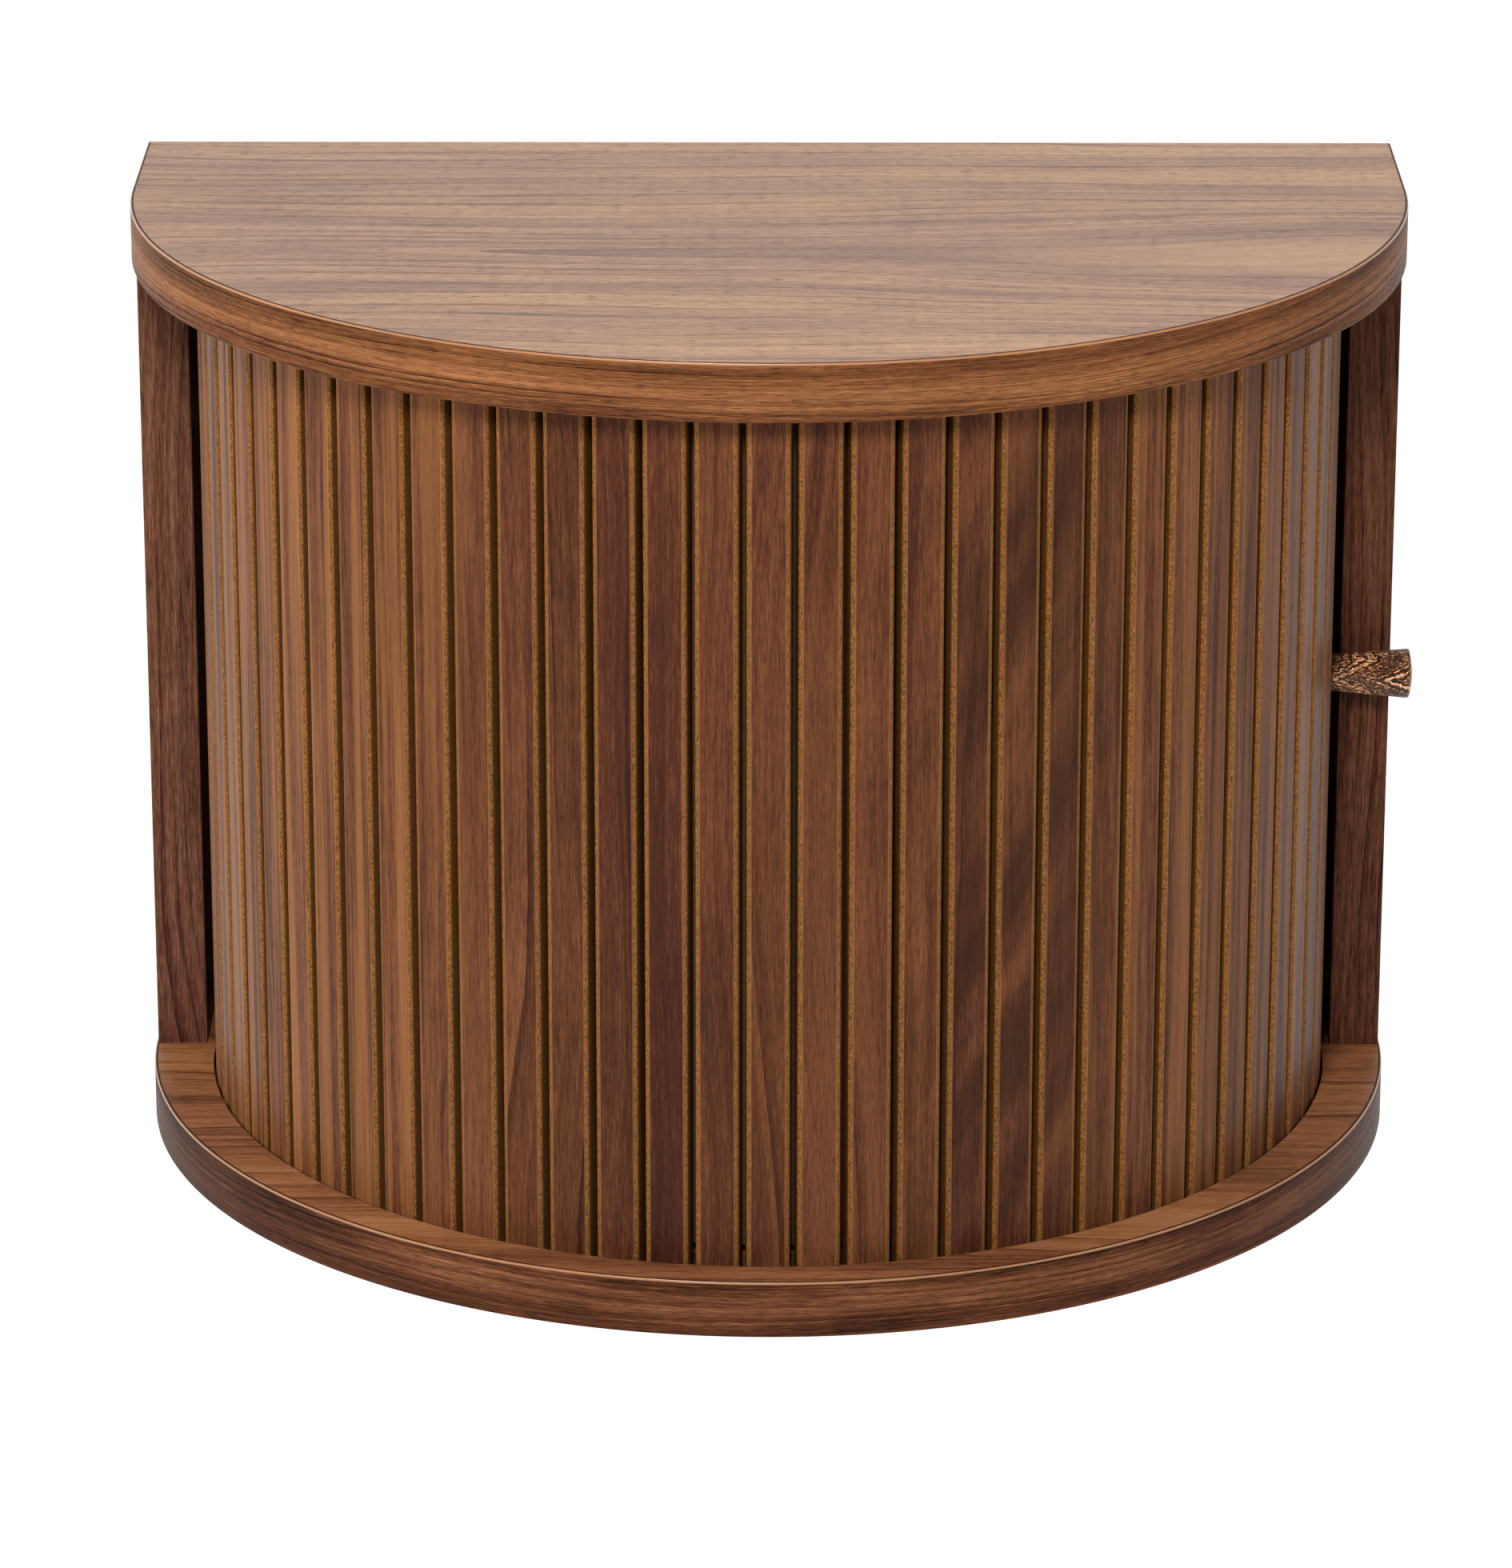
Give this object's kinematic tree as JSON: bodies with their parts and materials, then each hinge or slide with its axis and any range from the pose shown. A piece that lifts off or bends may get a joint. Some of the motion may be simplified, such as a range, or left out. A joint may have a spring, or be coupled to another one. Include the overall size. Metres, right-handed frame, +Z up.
{
  "type": "floating nightstand",
  "caption": "Wall-hung nightstand with a half-round top and base, and a sliding tambour door of upright slats with a turned knob.",
  "frame": {"origin": "centre of the back, on the wall plane", "axes": "+Y into the wall, -Y towards the front, +X to the right when seen from the front, +Z up"},
  "size_m": [0.4054, 0.26, 0.305],
  "materials": {
    "walnut_veneer": "walnut veneer with satin lacquer",
    "walnut_edging": "walnut edge banding with satin lacquer",
    "walnut_slats": "walnut-faced slats with stained bevels, satin lacquer",
    "turned_walnut": "turned solid walnut, oiled",
    "back_board": "plain stained board",
    "beech": "raw beech dowel",
    "canvas": "black woven canvas",
    "felt": "dark grey felt",
    "zinc": "zinc plated",
    "steel": "plain steel"
  },
  "bodies": {
    "cabinet": {"top_panel": "walnut_veneer", "bottom_panel": "walnut_veneer", "top_edge_band": "walnut_edging", "bottom_edge_band": "walnut_edging", "side_panel_left": "walnut_veneer", "side_panel_right": "walnut_veneer", "side_band_left": "walnut_edging", "side_band_right": "walnut_edging", "back_panel": "back_board", "hanger_block_left": "beech", "hanger_block_right": "beech", "false_back": "walnut_veneer", "panel_dowels": "beech", "cam_locks": "zinc", "cam_bolts": "steel", "hanger_plate_left": "zinc", "hanger_plate_right": "zinc", "hanger_screws": "steel", "stop_pads": "felt"},
    "door": {"slat_01": "walnut_slats", "slat_02": "walnut_slats", "slat_03": "walnut_slats", "slat_04": "walnut_slats", "slat_05": "walnut_slats", "slat_06": "walnut_slats", "slat_07": "walnut_slats", "slat_08": "walnut_slats", "slat_09": "walnut_slats", "slat_10": "walnut_slats", "slat_11": "walnut_slats", "slat_12": "walnut_slats", "slat_13": "walnut_slats", "slat_14": "walnut_slats", "slat_15": "walnut_slats", "slat_16": "walnut_slats", "slat_17": "walnut_slats", "slat_18": "walnut_slats", "slat_19": "walnut_slats", "slat_20": "walnut_slats", "slat_21": "walnut_slats", "slat_22": "walnut_slats", "slat_23": "walnut_slats", "slat_24": "walnut_slats", "slat_25": "walnut_slats", "slat_26": "walnut_slats", "slat_27": "walnut_slats", "slat_28": "walnut_slats", "slat_29": "walnut_slats", "slat_30": "walnut_slats", "slat_31": "walnut_slats", "slat_32": "walnut_slats", "slat_33": "walnut_slats", "slat_34": "walnut_slats", "slat_35": "walnut_slats", "slat_36": "walnut_slats", "slat_37": "walnut_slats", "canvas_backing": "canvas", "knob": "turned_walnut", "knob_screw": "steel"}
  },
  "joints": [
    {"name": "door_slide", "type": "hinge", "parent": "cabinet", "child": "door", "pos_m": [0, -0.067, 0], "axis": [0, 0, -1], "range_deg": [0, 17.5]}
  ]
}
